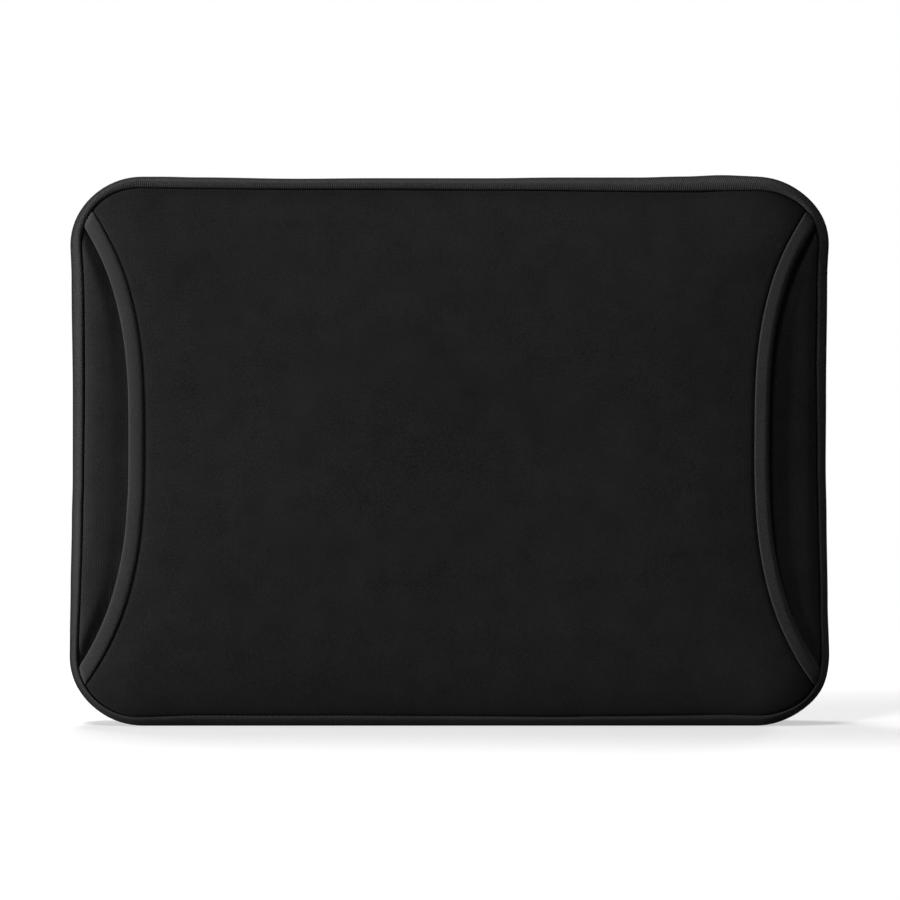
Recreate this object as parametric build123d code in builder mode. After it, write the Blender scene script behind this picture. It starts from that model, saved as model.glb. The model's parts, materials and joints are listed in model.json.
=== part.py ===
from build123d import *
import os

# Padded laptop sleeve standing on its long lower edge.
# +X is the width, the front faces -Y, +Z is up, millimetres.
# The origin is under the middle of the sleeve, on the surface it stands on.

# ---- Driving dimensions -------------------------------------------------

width = 400.0
height = 290.0
corner_radius = 38.0

# Cloth thicknesses, through the sleeve from front to back.
shell_thickness = 1.5
foam_thickness = 3.0
lining_thickness = 0.8
compartment_depth = 18.0
pillow_rise = 1.6
pillow_inset = 0.5
pocket_thickness = 2.0
pocket_wall = 2.6
pocket_gap = 4.4
edge_tape = 0.7

# Edge binding all round each face.
binding_width = 6.0
binding_web = 1.5
binding_outer_leg = 1.2
binding_inner_leg = 1.0
binding_round = 2.0

# Gusset strip and zip, both set in from the edge of the bindings.
gusset_inset = 4.0
gusset_thickness = 1.2
tape_thickness = 0.8
teeth_height = 1.6
teeth_half_width = 3.3
teeth_gap = 0.8
strip_from_zip = 5.2
tape_half_width = 6.4

# Height where the zip ends, and where the front folds open.
fold_height = 100.0
fold_gap = 0.3
tail_length = 20.0
tail_teeth_length = 13.0
stop_height = 2.5
stop_round = 0.6
end_tab_height = 6.0
end_tab_width = 15.0
end_tab_thickness = 1.0

# Slip pocket: free edges flare from the middle towards the corners.
pocket_edge_x = 168.8
pocket_edge_flare = 26.0
pocket_edge_reach = 118.5
pocket_edge_mid = 149.5
pocket_tape_width = 8.8
pocket_slope = 50.0
pocket_tape_slope = 45.0
pocket_edge_round = 8.0

# Zip slider and pull tab, on the right side.
slider_length = 12.0
slider_corner = 2.0
slider_plate = 0.8
slider_half_width = 4.7
slider_clearance = 0.4
slider_post = 0.9
slider_post_height = 3.0
bar_above_middle = 2.2
bridge_width = 2.0
bridge_length = 9.0
bridge_band = 0.8
bridge_window = 1.4
bridge_round = 0.7
spring_leaf = 0.3
spring_width = 1.2
spring_length = 3.0
pull_length = 26.0
pull_half_width = 3.4
pull_bar = 0.8
pull_arm_gap = 1.5
pull_end_gap = 0.6
pull_hole_radius = 1.5
pull_corner = 2.4
through = 100.0

# ---- Levels worked out from the dimensions, front to back ----------------

depth = (
    2 * edge_tape + pocket_thickness + pocket_gap + compartment_depth + pillow_rise
    + 2 * (shell_thickness + foam_thickness + lining_thickness)
)
front_y = -depth / 2
pocket_outer_y = front_y + edge_tape
pocket_inner_y = pocket_outer_y + pocket_thickness
front_face_y = pocket_inner_y + edge_tape + pocket_gap
front_foam_y = front_face_y + shell_thickness
front_lining_y = front_foam_y + foam_thickness
front_inside_y = front_lining_y + lining_thickness
back_inside_y = front_inside_y + compartment_depth
back_foam_y = back_inside_y + lining_thickness
back_panel_y = back_foam_y + foam_thickness
back_sheet_y = back_panel_y + shell_thickness
back_y = back_sheet_y + pillow_rise

gusset_front_y = front_inside_y + binding_inner_leg
gusset_back_y = back_inside_y - binding_inner_leg
zip_y = (gusset_front_y + gusset_back_y) / 2

tape_inset = gusset_inset + gusset_thickness
teeth_inset = tape_inset - teeth_height
below_fold = Plane.XY.offset(fold_height)
above_fold = Plane.XY.offset(fold_height + fold_gap)
tail_foot = Plane.XY.offset(fold_height - tail_length)
teeth_foot = Plane.XY.offset(fold_height - tail_teeth_length)


def facing_front(y):
    """Plane at depth y, centred on the sleeve's height, whose normal is -Y."""
    return Plane(origin=(0, y, height / 2), x_dir=(1, 0, 0), z_dir=(0, -1, 0))


def outline(inset, mode=Mode.ADD):
    """The sleeve's rounded outline, pulled in by inset."""
    RectangleRounded(width - 2 * inset, height - 2 * inset, corner_radius - inset, mode=mode)


def free_edge(side, step_in):
    """Points of a slip pocket's free edge: straight at mid height, flaring as a cubic."""
    count = 9
    reach = pocket_edge_reach + 2 * binding_width
    points = []
    for i in range(count):
        dz = reach * (2 * i / (count - 1) - 1)
        x = pocket_edge_x - step_in + pocket_edge_flare * abs(dz / pocket_edge_reach) ** 3
        points.append((side * x, pocket_edge_mid + dz - height / 2))
    return points


# ---- Back: outer sheet, foam and lining, bound together ------------------

with BuildPart() as back_panel:
    with BuildSketch(facing_front(back_sheet_y)):
        outline(binding_web)
    extrude(amount=shell_thickness)
    with BuildSketch(facing_front(back_y)):
        outline(binding_width + pillow_inset)
    extrude(amount=pillow_rise)
    fillet(back_panel.faces().sort_by(Axis.Y)[-1].edges(), radius=pillow_rise * 0.8)
back_panel.part.label = "back_panel"

with BuildPart() as back_foam:
    with BuildSketch(facing_front(back_panel_y)):
        outline(binding_web)
    extrude(amount=foam_thickness)
back_foam.part.label = "back_foam"

with BuildPart() as back_lining:
    with BuildSketch(facing_front(back_foam_y)):
        outline(binding_web)
    extrude(amount=lining_thickness)
back_lining.part.label = "back_lining"

# The tape is folded round the stacked edges, so its section is a channel.
with BuildPart() as back_binding:
    with BuildSketch(facing_front(back_sheet_y + binding_outer_leg)):
        outline(0)
        outline(binding_width, Mode.SUBTRACT)
    extrude(amount=back_sheet_y + binding_outer_leg - gusset_back_y)
    outer_edges = back_binding.faces().sort_by(Axis.Y)[-1].outer_wire().edges()
    outer_edges += back_binding.faces().sort_by(Axis.Y)[0].outer_wire().edges()
    fillet(outer_edges, radius=binding_round)
    with BuildSketch(facing_front(back_sheet_y)):
        outline(binding_web)
    extrude(amount=back_sheet_y - back_inside_y, mode=Mode.SUBTRACT)
back_binding.part.label = "back_binding"

# ---- Front: the same stack, cut at the fold -------------------------------

with BuildPart() as front_panel:
    with BuildSketch(facing_front(front_foam_y)):
        outline(binding_web)
    extrude(amount=shell_thickness)

with BuildPart() as front_foam:
    with BuildSketch(facing_front(front_lining_y)):
        outline(binding_web)
    extrude(amount=foam_thickness)

with BuildPart() as front_lining:
    with BuildSketch(facing_front(front_inside_y)):
        outline(binding_web)
    extrude(amount=lining_thickness)

with BuildPart() as front_binding:
    with BuildSketch(facing_front(gusset_front_y)):
        outline(0)
        outline(binding_width, Mode.SUBTRACT)
    extrude(amount=gusset_front_y - front_face_y + binding_outer_leg)
    outer_edges = front_binding.faces().sort_by(Axis.Y)[-1].outer_wire().edges()
    outer_edges += front_binding.faces().sort_by(Axis.Y)[0].outer_wire().edges()
    fillet(outer_edges, radius=binding_round)
    with BuildSketch(facing_front(front_inside_y)):
        outline(binding_web)
    extrude(amount=front_inside_y - front_face_y, mode=Mode.SUBTRACT)

# ---- Slip pocket over the front, open at both sides -----------------------

# The space under the panel, and under the tape that binds its free edges.
with BuildPart() as space_under_pocket:
    with BuildSketch(facing_front(front_face_y)):
        outline(binding_width + pocket_wall)
    extrude(amount=front_face_y - pocket_inner_y, taper=pocket_slope)

with BuildPart() as space_under_tape:
    with BuildSketch(facing_front(front_face_y)):
        outline(binding_width + pocket_wall + edge_tape)
    extrude(amount=pocket_gap, taper=pocket_slope)

# Crowned panel: it rises from the seam at the binding to a flat middle.
with BuildPart() as pocket_panel:
    with BuildSketch(facing_front(front_face_y)):
        outline(binding_width)
    extrude(amount=front_face_y - pocket_outer_y, taper=pocket_slope)
    fillet(pocket_panel.faces().sort_by(Axis.Y)[0].edges(), radius=pocket_edge_round)
    add(space_under_pocket.part, mode=Mode.SUBTRACT)
    with BuildSketch(facing_front(0)):
        with BuildLine():
            right = Spline(*free_edge(1, edge_tape))
            left = Spline(*free_edge(-1, edge_tape))
            Polyline(right @ 1, (width / 2, height / 2), (-width / 2, height / 2), left @ 1)
            Polyline(right @ 0, (width / 2, -height / 2), (-width / 2, -height / 2), left @ 0)
        make_face()
    extrude(amount=through, mode=Mode.INTERSECT)

# Woven tape folded round a free edge of the panel.
tapes = {}
for side in (1, -1):
    with BuildPart() as tape:
        with BuildSketch(facing_front(front_face_y)):
            outline(binding_width)
        extrude(amount=front_face_y - front_y, taper=pocket_tape_slope)
        fillet(tape.faces().sort_by(Axis.Y)[0].edges(), radius=pocket_edge_round)
        add(space_under_tape.part, mode=Mode.SUBTRACT)
        with BuildSketch(facing_front(0)):
            with BuildLine():
                free = Spline(*free_edge(side, 0))
                sewn = Spline(*free_edge(side, pocket_tape_width))
                Line(free @ 0, sewn @ 0)
                Line(free @ 1, sewn @ 1)
            make_face()
        extrude(amount=through, mode=Mode.INTERSECT)
        add(pocket_panel.part, mode=Mode.SUBTRACT)
    tapes[side] = tape.part

# ---- Each front piece below and above the fold ----------------------------

with BuildPart() as front_panel_lower:
    add(front_panel.part)
    split(bisect_by=below_fold, keep=Keep.BOTTOM)
front_panel_lower.part.label = "front_panel_lower"

with BuildPart() as front_panel_upper:
    add(front_panel.part)
    split(bisect_by=above_fold, keep=Keep.TOP)
front_panel_upper.part.label = "front_panel_upper"

with BuildPart() as front_foam_lower:
    add(front_foam.part)
    split(bisect_by=below_fold, keep=Keep.BOTTOM)
front_foam_lower.part.label = "front_foam_lower"

with BuildPart() as front_foam_upper:
    add(front_foam.part)
    split(bisect_by=above_fold, keep=Keep.TOP)
front_foam_upper.part.label = "front_foam_upper"

with BuildPart() as front_lining_lower:
    add(front_lining.part)
    split(bisect_by=below_fold, keep=Keep.BOTTOM)
front_lining_lower.part.label = "front_lining_lower"

with BuildPart() as front_lining_upper:
    add(front_lining.part)
    split(bisect_by=above_fold, keep=Keep.TOP)
front_lining_upper.part.label = "front_lining_upper"

with BuildPart() as front_binding_lower:
    add(front_binding.part)
    split(bisect_by=below_fold, keep=Keep.BOTTOM)
front_binding_lower.part.label = "front_binding_lower"

with BuildPart() as front_binding_upper:
    add(front_binding.part)
    split(bisect_by=above_fold, keep=Keep.TOP)
front_binding_upper.part.label = "front_binding_upper"

with BuildPart() as pocket_panel_lower:
    add(pocket_panel.part)
    split(bisect_by=below_fold, keep=Keep.BOTTOM)
pocket_panel_lower.part.label = "pocket_panel_lower"

with BuildPart() as pocket_panel_upper:
    add(pocket_panel.part)
    split(bisect_by=above_fold, keep=Keep.TOP)
pocket_panel_upper.part.label = "pocket_panel_upper"

with BuildPart() as pocket_binding_right_lower:
    add(tapes[1])
    split(bisect_by=below_fold, keep=Keep.BOTTOM)
pocket_binding_right_lower.part.label = "pocket_binding_right_lower"

with BuildPart() as pocket_binding_right_upper:
    add(tapes[1])
    split(bisect_by=above_fold, keep=Keep.TOP)
pocket_binding_right_upper.part.label = "pocket_binding_right_upper"

with BuildPart() as pocket_binding_left_lower:
    add(tapes[-1])
    split(bisect_by=below_fold, keep=Keep.BOTTOM)
pocket_binding_left_lower.part.label = "pocket_binding_left_lower"

with BuildPart() as pocket_binding_left_upper:
    add(tapes[-1])
    split(bisect_by=above_fold, keep=Keep.TOP)
pocket_binding_left_upper.part.label = "pocket_binding_left_upper"

# ---- Gusset: one strip below the zip, two narrow strips beside it ---------

zip_slot_width = 2 * strip_from_zip
tail_middle = fold_height - tail_length / 2

with BuildPart() as lower_gusset:
    with BuildSketch(facing_front(gusset_back_y)):
        outline(gusset_inset)
        outline(tape_inset, Mode.SUBTRACT)
    extrude(amount=gusset_back_y - gusset_front_y)
    split(bisect_by=below_fold, keep=Keep.BOTTOM)
    with Locations((0, zip_y, tail_middle)):
        Box(width, zip_slot_width, tail_length, mode=Mode.SUBTRACT)
lower_gusset.part.label = "lower_gusset"

with BuildPart() as back_gusset:
    with BuildSketch(facing_front(gusset_back_y)):
        outline(gusset_inset)
        outline(tape_inset, Mode.SUBTRACT)
    extrude(amount=gusset_back_y - zip_y - strip_from_zip)
    split(bisect_by=above_fold, keep=Keep.TOP)
back_gusset.part.label = "back_gusset"

with BuildPart() as front_gusset:
    with BuildSketch(facing_front(zip_y - strip_from_zip)):
        outline(gusset_inset)
        outline(tape_inset, Mode.SUBTRACT)
    extrude(amount=zip_y - strip_from_zip - gusset_front_y)
    split(bisect_by=above_fold, keep=Keep.TOP)
front_gusset.part.label = "front_gusset"

# ---- Zip: two tapes with their rows of teeth, and the fixed tails ---------

tape_flank = tape_half_width - teeth_gap
teeth_flank = teeth_half_width - teeth_gap

with BuildPart() as back_tape_all:
    with BuildSketch(facing_front(zip_y + tape_half_width)):
        outline(tape_inset)
        outline(tape_inset + tape_thickness, Mode.SUBTRACT)
    extrude(amount=tape_flank)

with BuildPart() as front_tape_all:
    with BuildSketch(facing_front(zip_y - teeth_gap)):
        outline(tape_inset)
        outline(tape_inset + tape_thickness, Mode.SUBTRACT)
    extrude(amount=tape_flank)

with BuildPart() as back_teeth_all:
    with BuildSketch(facing_front(zip_y + teeth_half_width)):
        outline(teeth_inset)
        outline(tape_inset, Mode.SUBTRACT)
    extrude(amount=teeth_flank)

with BuildPart() as front_teeth_all:
    with BuildSketch(facing_front(zip_y - teeth_gap)):
        outline(teeth_inset)
        outline(tape_inset, Mode.SUBTRACT)
    extrude(amount=teeth_flank)

with BuildPart() as back_zip_tape:
    add(back_tape_all.part)
    split(bisect_by=above_fold, keep=Keep.TOP)
back_zip_tape.part.label = "back_zip_tape"

with BuildPart() as front_zip_tape:
    add(front_tape_all.part)
    split(bisect_by=above_fold, keep=Keep.TOP)
front_zip_tape.part.label = "front_zip_tape"

with BuildPart() as back_zip_teeth:
    add(back_teeth_all.part)
    split(bisect_by=above_fold, keep=Keep.TOP)
back_zip_teeth.part.label = "back_zip_teeth"

with BuildPart() as front_zip_teeth:
    add(front_teeth_all.part)
    split(bisect_by=above_fold, keep=Keep.TOP)
front_zip_teeth.part.label = "front_zip_teeth"

# Below the fold both halves stay sewn together as a short tail on each side.
with BuildPart() as zip_tail_tapes:
    add(back_tape_all.part)
    add(front_tape_all.part)
    split(bisect_by=below_fold, keep=Keep.BOTTOM)
    split(bisect_by=tail_foot, keep=Keep.TOP)
zip_tail_tapes.part.label = "zip_tail_tapes"

with BuildPart() as zip_tail_teeth:
    add(back_teeth_all.part)
    add(front_teeth_all.part)
    split(bisect_by=below_fold, keep=Keep.BOTTOM)
    split(bisect_by=teeth_foot, keep=Keep.TOP)
zip_tail_teeth.part.label = "zip_tail_teeth"

with BuildPart() as zip_stops:
    for side in (1, -1):
        stop_x = side * (width / 2 - (teeth_inset + tape_inset) / 2)
        with Locations((stop_x, zip_y, fold_height - tail_teeth_length - stop_height / 2)):
            Box(teeth_height, 2 * teeth_half_width, stop_height)
    fillet(zip_stops.edges().filter_by(Axis.X), radius=stop_round)
zip_stops.part.label = "zip_stops"

# A folded scrap of tape sewn over each end of the zip.
with BuildPart() as zip_end_tabs:
    for side in (1, -1):
        tab_x = side * (width / 2 - gusset_inset + end_tab_thickness / 2)
        with Locations((tab_x, zip_y, fold_height - tail_length)):
            Box(end_tab_thickness, end_tab_width, end_tab_height)
zip_end_tabs.part.label = "zip_end_tabs"

# ---- Slider on the right side, parked on the fixed tail -------------------

slider_top = fold_height - 0.5
slider_foot = slider_top - slider_length
slider_middle = slider_top - slider_length / 2
top_plate_x = width / 2 - teeth_inset + slider_clearance
inner_plate_x = width / 2 - tape_inset - tape_thickness - slider_clearance
flange_x = width / 2 - tape_inset + slider_clearance
side_wall = slider_half_width - teeth_half_width - slider_clearance

with BuildPart() as slider_body:
    # Outer plate with a wide lower shoulder, inner plate, side flanges and the post.
    with Locations((top_plate_x, zip_y, slider_middle)):
        Box(slider_plate, 2 * slider_half_width, slider_length, align=(Align.MIN, Align.CENTER, Align.CENTER))
    with Locations((inner_plate_x, zip_y, slider_middle)):
        Box(slider_plate, 2 * slider_half_width, slider_length, align=(Align.MAX, Align.CENTER, Align.CENTER))
    fillet(slider_body.edges().filter_by(Axis.X), radius=slider_corner)
    for flank in (1, -1):
        with Locations((flange_x, zip_y + flank * (slider_half_width - side_wall / 2), slider_middle)):
            Box(
                top_plate_x - flange_x + slider_plate / 2,
                side_wall,
                slider_length - 2 * slider_corner,
                align=(Align.MIN, Align.CENTER, Align.CENTER),
            )
    with Locations((inner_plate_x - slider_plate / 2, zip_y, slider_foot + slider_post_height)):
        Box(
            top_plate_x - inner_plate_x + slider_plate,
            slider_post,
            slider_post_height,
            align=(Align.MIN, Align.CENTER, Align.CENTER),
        )
slider_body.part.label = "slider_body"

bridge_base_x = top_plate_x + slider_plate
bridge_outer_x = bridge_base_x + bridge_window + bridge_band
across_slider = Plane(origin=(0, zip_y + bridge_width / 2, slider_middle), x_dir=(1, 0, 0), z_dir=(0, -1, 0))

with BuildPart() as slider_bridge:
    with BuildSketch(across_slider):
        with Locations((bridge_base_x, 0)):
            Rectangle(bridge_window + bridge_band, bridge_length, align=(Align.MIN, Align.CENTER))
        with Locations((bridge_base_x, 0)):
            Rectangle(
                bridge_window,
                bridge_length - 2 * bridge_band,
                align=(Align.MIN, Align.CENTER),
                mode=Mode.SUBTRACT,
            )
    extrude(amount=bridge_width)
    fillet(slider_bridge.faces().sort_by(Axis.X)[-1].edges().filter_by(Axis.Y), radius=bridge_round)
slider_bridge.part.label = "slider_bridge"

# Leaf spring that presses the locking prong, flat on the outer plate.
with BuildPart() as slider_lock_spring:
    with Locations((bridge_base_x, zip_y, slider_middle - bar_above_middle)):
        Box(spring_leaf, spring_width, spring_length, align=(Align.MIN, Align.CENTER, Align.CENTER))
slider_lock_spring.part.label = "slider_lock_spring"

# ---- Pull tab: its bar lies in the bridge's window, the tab hangs down -----

pull_axis_x = bridge_base_x + bridge_window / 2
pull_axis_z = slider_middle + bar_above_middle
arm_reach = bridge_length / 2 + pull_axis_z - slider_middle + pull_end_gap
across_pull = Plane(origin=(pull_axis_x - pull_bar / 2, zip_y, pull_axis_z), x_dir=(0, 1, 0), z_dir=(1, 0, 0))

with BuildPart() as pull_tab:
    with BuildSketch(across_pull):
        with Locations((0, -arm_reach / 2)):
            Rectangle(2 * pull_half_width, arm_reach)
        with Locations((0, -pull_length / 2 - arm_reach / 2)):
            Rectangle(2 * pull_half_width, pull_length - arm_reach)
        with Locations((0, -arm_reach / 2)):
            Rectangle(2 * pull_arm_gap, arm_reach, mode=Mode.SUBTRACT)
        with Locations((0, -pull_length + pull_half_width)):
            Circle(pull_hole_radius, mode=Mode.SUBTRACT)
    extrude(amount=pull_bar)
    fillet(pull_tab.faces().sort_by(Axis.Z)[0].edges().filter_by(Axis.X), radius=pull_corner)
    with BuildSketch(Plane(origin=(pull_axis_x, zip_y, pull_axis_z), z_dir=(0, 1, 0))):
        Circle(pull_bar / 2)
    extrude(amount=pull_half_width, both=True)
pull_tab.part.label = "pull_tab"

# ---- Files ------------------------------------------------------------------

os.makedirs("parts", exist_ok=True)

export_step(back_panel.part, "parts/back_panel.step")
export_step(back_foam.part, "parts/back_foam.step")
export_step(back_lining.part, "parts/back_lining.step")
export_step(back_binding.part, "parts/back_binding.step")
export_step(front_panel_lower.part, "parts/front_panel_lower.step")
export_step(front_panel_upper.part, "parts/front_panel_upper.step")
export_step(front_foam_lower.part, "parts/front_foam_lower.step")
export_step(front_foam_upper.part, "parts/front_foam_upper.step")
export_step(front_lining_lower.part, "parts/front_lining_lower.step")
export_step(front_lining_upper.part, "parts/front_lining_upper.step")
export_step(front_binding_lower.part, "parts/front_binding_lower.step")
export_step(front_binding_upper.part, "parts/front_binding_upper.step")
export_step(pocket_panel_lower.part, "parts/pocket_panel_lower.step")
export_step(pocket_panel_upper.part, "parts/pocket_panel_upper.step")
export_step(pocket_binding_left_lower.part, "parts/pocket_binding_left_lower.step")
export_step(pocket_binding_left_upper.part, "parts/pocket_binding_left_upper.step")
export_step(pocket_binding_right_lower.part, "parts/pocket_binding_right_lower.step")
export_step(pocket_binding_right_upper.part, "parts/pocket_binding_right_upper.step")
export_step(lower_gusset.part, "parts/lower_gusset.step")
export_step(back_gusset.part, "parts/back_gusset.step")
export_step(front_gusset.part, "parts/front_gusset.step")
export_step(back_zip_tape.part, "parts/back_zip_tape.step")
export_step(front_zip_tape.part, "parts/front_zip_tape.step")
export_step(back_zip_teeth.part, "parts/back_zip_teeth.step")
export_step(front_zip_teeth.part, "parts/front_zip_teeth.step")
export_step(zip_tail_tapes.part, "parts/zip_tail_tapes.step")
export_step(zip_tail_teeth.part, "parts/zip_tail_teeth.step")
export_step(zip_stops.part, "parts/zip_stops.step")
export_step(zip_end_tabs.part, "parts/zip_end_tabs.step")
export_step(slider_body.part, "parts/slider_body.step")
export_step(slider_bridge.part, "parts/slider_bridge.step")
export_step(slider_lock_spring.part, "parts/slider_lock_spring.step")
export_step(pull_tab.part, "parts/pull_tab.step")

print("fold axis y", front_y, "z", fold_height)
print("pull axis x", pull_axis_x, "z", pull_axis_z)
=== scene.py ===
import json
import math

import bpy
import numpy as np
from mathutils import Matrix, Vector


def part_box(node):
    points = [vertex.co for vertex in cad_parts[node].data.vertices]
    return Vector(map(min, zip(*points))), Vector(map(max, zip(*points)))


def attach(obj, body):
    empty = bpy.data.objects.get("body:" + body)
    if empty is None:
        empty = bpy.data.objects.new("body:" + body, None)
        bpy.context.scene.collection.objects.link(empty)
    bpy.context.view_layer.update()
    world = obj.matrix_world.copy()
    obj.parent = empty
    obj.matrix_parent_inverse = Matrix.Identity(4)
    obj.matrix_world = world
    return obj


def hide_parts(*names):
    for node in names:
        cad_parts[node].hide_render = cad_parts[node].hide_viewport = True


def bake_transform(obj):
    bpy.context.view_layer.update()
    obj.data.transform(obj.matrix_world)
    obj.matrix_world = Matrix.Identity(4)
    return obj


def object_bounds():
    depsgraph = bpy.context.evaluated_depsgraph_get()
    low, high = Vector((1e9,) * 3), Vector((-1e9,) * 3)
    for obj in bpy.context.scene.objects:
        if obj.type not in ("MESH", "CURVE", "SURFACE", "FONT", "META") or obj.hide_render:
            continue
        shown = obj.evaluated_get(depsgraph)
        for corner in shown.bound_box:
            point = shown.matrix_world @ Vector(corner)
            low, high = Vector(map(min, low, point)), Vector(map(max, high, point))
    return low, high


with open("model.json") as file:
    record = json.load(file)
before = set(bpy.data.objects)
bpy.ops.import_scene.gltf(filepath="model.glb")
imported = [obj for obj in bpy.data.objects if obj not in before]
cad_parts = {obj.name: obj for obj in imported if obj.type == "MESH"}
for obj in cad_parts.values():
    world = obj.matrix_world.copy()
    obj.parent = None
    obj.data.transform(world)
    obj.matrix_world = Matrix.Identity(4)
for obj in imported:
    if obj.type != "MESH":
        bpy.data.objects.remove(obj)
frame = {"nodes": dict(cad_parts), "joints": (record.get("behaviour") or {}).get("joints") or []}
cad_low, cad_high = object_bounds()

# ---- Sizes, in metres: the frame's own levels, and what the cloth adds ----

mm = 0.001
width = cad_high.x - cad_low.x
height = cad_high.z - cad_low.z
half_width = width / 2
half_height = height / 2
corner_radius = 38 * mm

fold = next(j for j in frame["joints"] if j["name"] == "front_fold")
fold_y, fold_z = fold["pos_m"][1], fold["pos_m"][2]

pocket_low, pocket_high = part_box("pocket_panel_upper")
pocket_face = pocket_low.y
sheet_face = pocket_high.y
front_low, front_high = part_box("front_binding_upper")
back_low, back_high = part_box("back_binding")
foam_low, foam_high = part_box("front_foam_upper")
lining_low, lining_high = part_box("front_lining_upper")
back_lining_low, back_lining_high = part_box("back_lining")
back_foam_low, back_foam_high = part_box("back_foam")
back_sheet_low, back_sheet_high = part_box("back_panel")
gusset_low, gusset_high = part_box("lower_gusset")
strip_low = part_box("back_gusset")[0]
zip_tape_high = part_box("back_zip_tape")[1]
teeth_low, teeth_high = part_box("back_zip_teeth")
tail_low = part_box("zip_tail_tapes")[0]
tail_teeth_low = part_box("zip_tail_teeth")[0]

gusset_inset = gusset_low.z - cad_low.z
tape_inset = cad_high.z - zip_tape_high.z
teeth_inset = cad_high.z - teeth_high.z
zip_y = (gusset_low.y + gusset_high.y) / 2
teeth_reach = teeth_high.y - zip_y
seam_inset = cad_high.z - pocket_high.z

# Slip pocket's free edge, as on the CAD solid: a cubic flare from its middle.
edge_half_x = 168.8 * mm
edge_flare = 26 * mm
edge_reach = 118.5 * mm
edge_mid_z = 149.5 * mm
edge_tape_width = 8.2 * mm
tape_margin = 3.4 * mm

# ---- Small numeric helpers ----


def smooth(t):
    """Eases from 0 to 1 as t goes from 0 to 1."""
    t = np.clip(t, 0.0, 1.0)
    return t * t * (3 - 2 * t)


def ripple(x, z, size, seed):
    """Smooth, repeatable unevenness between about -1 and 1, over lengths of about size."""
    total = 0.0
    for i in range(5):
        turn = seed * 1.7 + i * 2.399
        wave = 2 * math.pi / (size * (0.75 + 0.22 * i))
        total = total + np.sin((x * math.cos(turn) + z * math.sin(turn)) * wave + seed * 3.1 + i * 1.3)
    return total / 3.2


def eased(t, nodes):
    """A smooth curve through (t, value) nodes, level at each node."""
    places, values = np.array(nodes).T
    t = np.clip(t, places[0], places[-1])
    k = np.clip(np.searchsorted(places, t, side="right") - 1, 0, len(places) - 2)
    share = smooth((t - places[k]) / (places[k + 1] - places[k]))
    return values[k] + (values[k + 1] - values[k]) * share


def edge_distance(x, z):
    """How far a point of the face lies inside the sleeve's rounded outline."""
    qx = np.abs(x) - (half_width - corner_radius)
    qz = np.abs(z - half_height) - (half_height - corner_radius)
    outside = np.hypot(np.maximum(qx, 0), np.maximum(qz, 0))
    return corner_radius - outside - np.minimum(np.maximum(qx, qz), 0)


def kept_inside(x, z, inset):
    """Points of the face, moved in where they lie closer to the outline than inset."""
    cx = np.clip(x, corner_radius - half_width, half_width - corner_radius)
    cz = np.clip(z, corner_radius, height - corner_radius)
    reach = np.hypot(x - cx, z - cz)
    share = np.minimum(1, (corner_radius - inset) / np.maximum(reach, 1e-9))
    return cx + (x - cx) * share, cz + (z - cz) * share


# Width of the front edge binding, in mm, by direction from the middle of the face:
# 0 is the right side, 90 the top and -90 the bottom. The sewn line wanders.
BAND_WIDTHS = [
    (-180, 6.4), (-166, 6.2), (-158, 6.0), (-151, 5.5), (-145, 4.8), (-135, 4.5), (-130, 5.0),
    (-124, 5.9), (-109, 5.7), (-97, 5.6), (-85, 5.35), (-73, 5.2), (-63, 5.6), (-54, 6.1), (-49, 5.4),
    (-45, 4.3), (-35, 4.2), (-22, 4.5), (-6, 4.9), (3, 5.0), (11, 5.4), (18, 5.8), (32, 5.7), (38, 5.5),
    (45, 6.2), (50, 7.3), (54, 8.4), (59, 7.9), (66, 7.3), (74, 7.0), (80, 6.5), (91, 6.3), (103, 5.9),
    (114, 5.7), (127, 6.0), (135, 5.3), (142, 6.2), (150, 7.1), (162, 6.9), (170, 6.8), (180, 6.4),
]


def band_width(x, z):
    """Visible width of the front edge binding at the nearest part of the outline."""
    heading = np.degrees(np.arctan2((z - half_height) / half_height, x / half_width))
    return np.interp(heading, *np.array(BAND_WIDTHS).T) * mm


def seam_depth(x, z):
    """Distance inward from the ditch of the edge seam, which gapes a little along the top."""
    gape = 0.08 + 0.55 * np.clip((z - half_height) / half_height, 0, 1) ** 8
    return edge_distance(x, z) - band_width(x, z) - gape * mm


def free_edge_x(z):
    """Half the width between the slip pocket's two free edges at height z."""
    return edge_half_x + edge_flare * np.abs((z - edge_mid_z) / edge_reach) ** 3


def free_edge_slope(z):
    """How fast the free edge moves outward with height there."""
    t = (z - edge_mid_z) / edge_reach
    return 3 * edge_flare / edge_reach * t * np.abs(t)


def tape_distance(x, z):
    """How far a point lies inside the slip pocket's free edge."""
    return (free_edge_x(z) - np.abs(x)) / np.hypot(1, free_edge_slope(z))


def crown(x, z):
    """Bulge of a stuffed face: 1 at its middle, 0 along its edges."""
    return (1 - (x / half_width) ** 2) * (1 - ((z - half_height) / half_height) ** 2)


def puckers(x, z, d, seed):
    """Small gathers along a seam, dying out within the next few millimetres of cloth."""
    along = np.where(np.abs(z - half_height) / half_height > np.abs(x) / half_width, x, z)
    waves = np.sin(along / (3.4 * mm) + 2 * ripple(x, z, 60 * mm, seed))
    return 0.12 * mm * np.exp(-np.clip(d, 0, 1) / (6 * mm)) * smooth(d / (1.5 * mm)) * waves


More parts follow.
